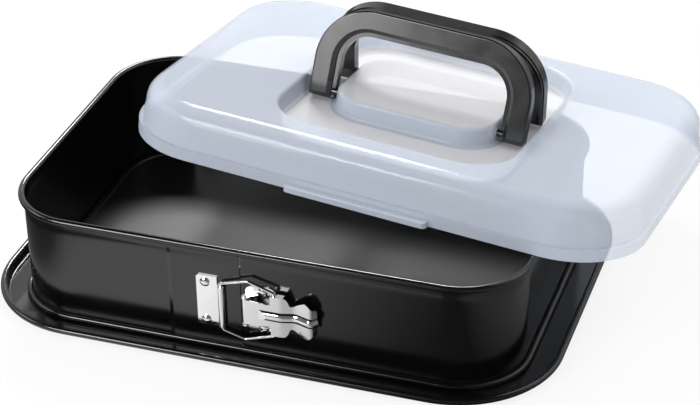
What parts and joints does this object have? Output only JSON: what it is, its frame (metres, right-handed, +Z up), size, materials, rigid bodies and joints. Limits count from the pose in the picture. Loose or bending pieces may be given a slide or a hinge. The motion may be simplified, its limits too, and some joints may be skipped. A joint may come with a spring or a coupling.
{
  "type": "springform pan with cover",
  "caption": "Rectangular springform pan: flanged base, band closed by an over-centre wire clasp, and a translucent cover with two folding carrying handles.",
  "frame": {"origin": "centre of the base plate's flat underside, on the table", "axes": "+X along the pan's long side, -Y towards the side with the clasp, +Z up"},
  "size_m": [0.4736, 0.3575, 0.176],
  "materials": {
    "nonstick_steel": "satin black non-stick coating",
    "clasp_steel": "bright nickel plating",
    "core_wire": "plain drawn steel wire",
    "cover_plastic": "milky translucent polypropylene",
    "handle_plastic": "satin black moulded plastic"
  },
  "bodies": {
    "base": {"base_plate": "nonstick_steel", "base_rim_wire": "core_wire"},
    "band": {"spring_band": "nonstick_steel", "band_rim_wire": "core_wire", "hinge_plate": "clasp_steel", "hinge_plate_rivets": "clasp_steel", "lever_bracket": "clasp_steel", "bracket_rivets": "clasp_steel", "lever_pin": "clasp_steel"},
    "lever": {"clamp_lever": "clasp_steel"},
    "bail": {"wire_bail": "clasp_steel"},
    "cover": {"cover_shell": "cover_plastic"},
    "handle_front": {"front_handle": "handle_plastic"},
    "handle_rear": {"rear_handle": "handle_plastic"}
  },
  "joints": [
    {"name": "band_lift", "type": "slide", "parent": "base", "child": "band", "axis": [0, 0, 1], "range_m": [0, 0.12]},
    {"name": "lever_swing", "type": "hinge", "parent": "band", "child": "lever", "pos_m": [-0.0013, -0.1297, 0.0393], "axis": [0, 0, -1], "range_deg": [0, 150]},
    {"name": "bail_swing", "type": "hinge", "parent": "band", "child": "bail", "pos_m": [-0.0196, -0.12755, 0.0393], "axis": [0, 0, -1], "range_deg": [0, 30]},
    {"name": "cover_lift", "type": "slide", "parent": "band", "child": "cover", "axis": [0, 0, 1], "range_m": [0, 0.15]},
    {"name": "front_handle_fold", "type": "hinge", "parent": "cover", "child": "handle_front", "pos_m": [0.06712, 0.04979, 0.1103], "axis": [0.9948, -0.0809, -0.0626], "range_deg": [0, 102]},
    {"name": "rear_handle_fold", "type": "hinge", "parent": "cover", "child": "handle_rear", "pos_m": [0.07019, 0.09139, 0.10543], "axis": [-0.9948, 0.0809, 0.0626], "range_deg": [0, 102]}
  ],
  "couplings": [
    {"joint": "bail_swing", "follows": "lever_swing", "ratio": 0.2}
  ]
}
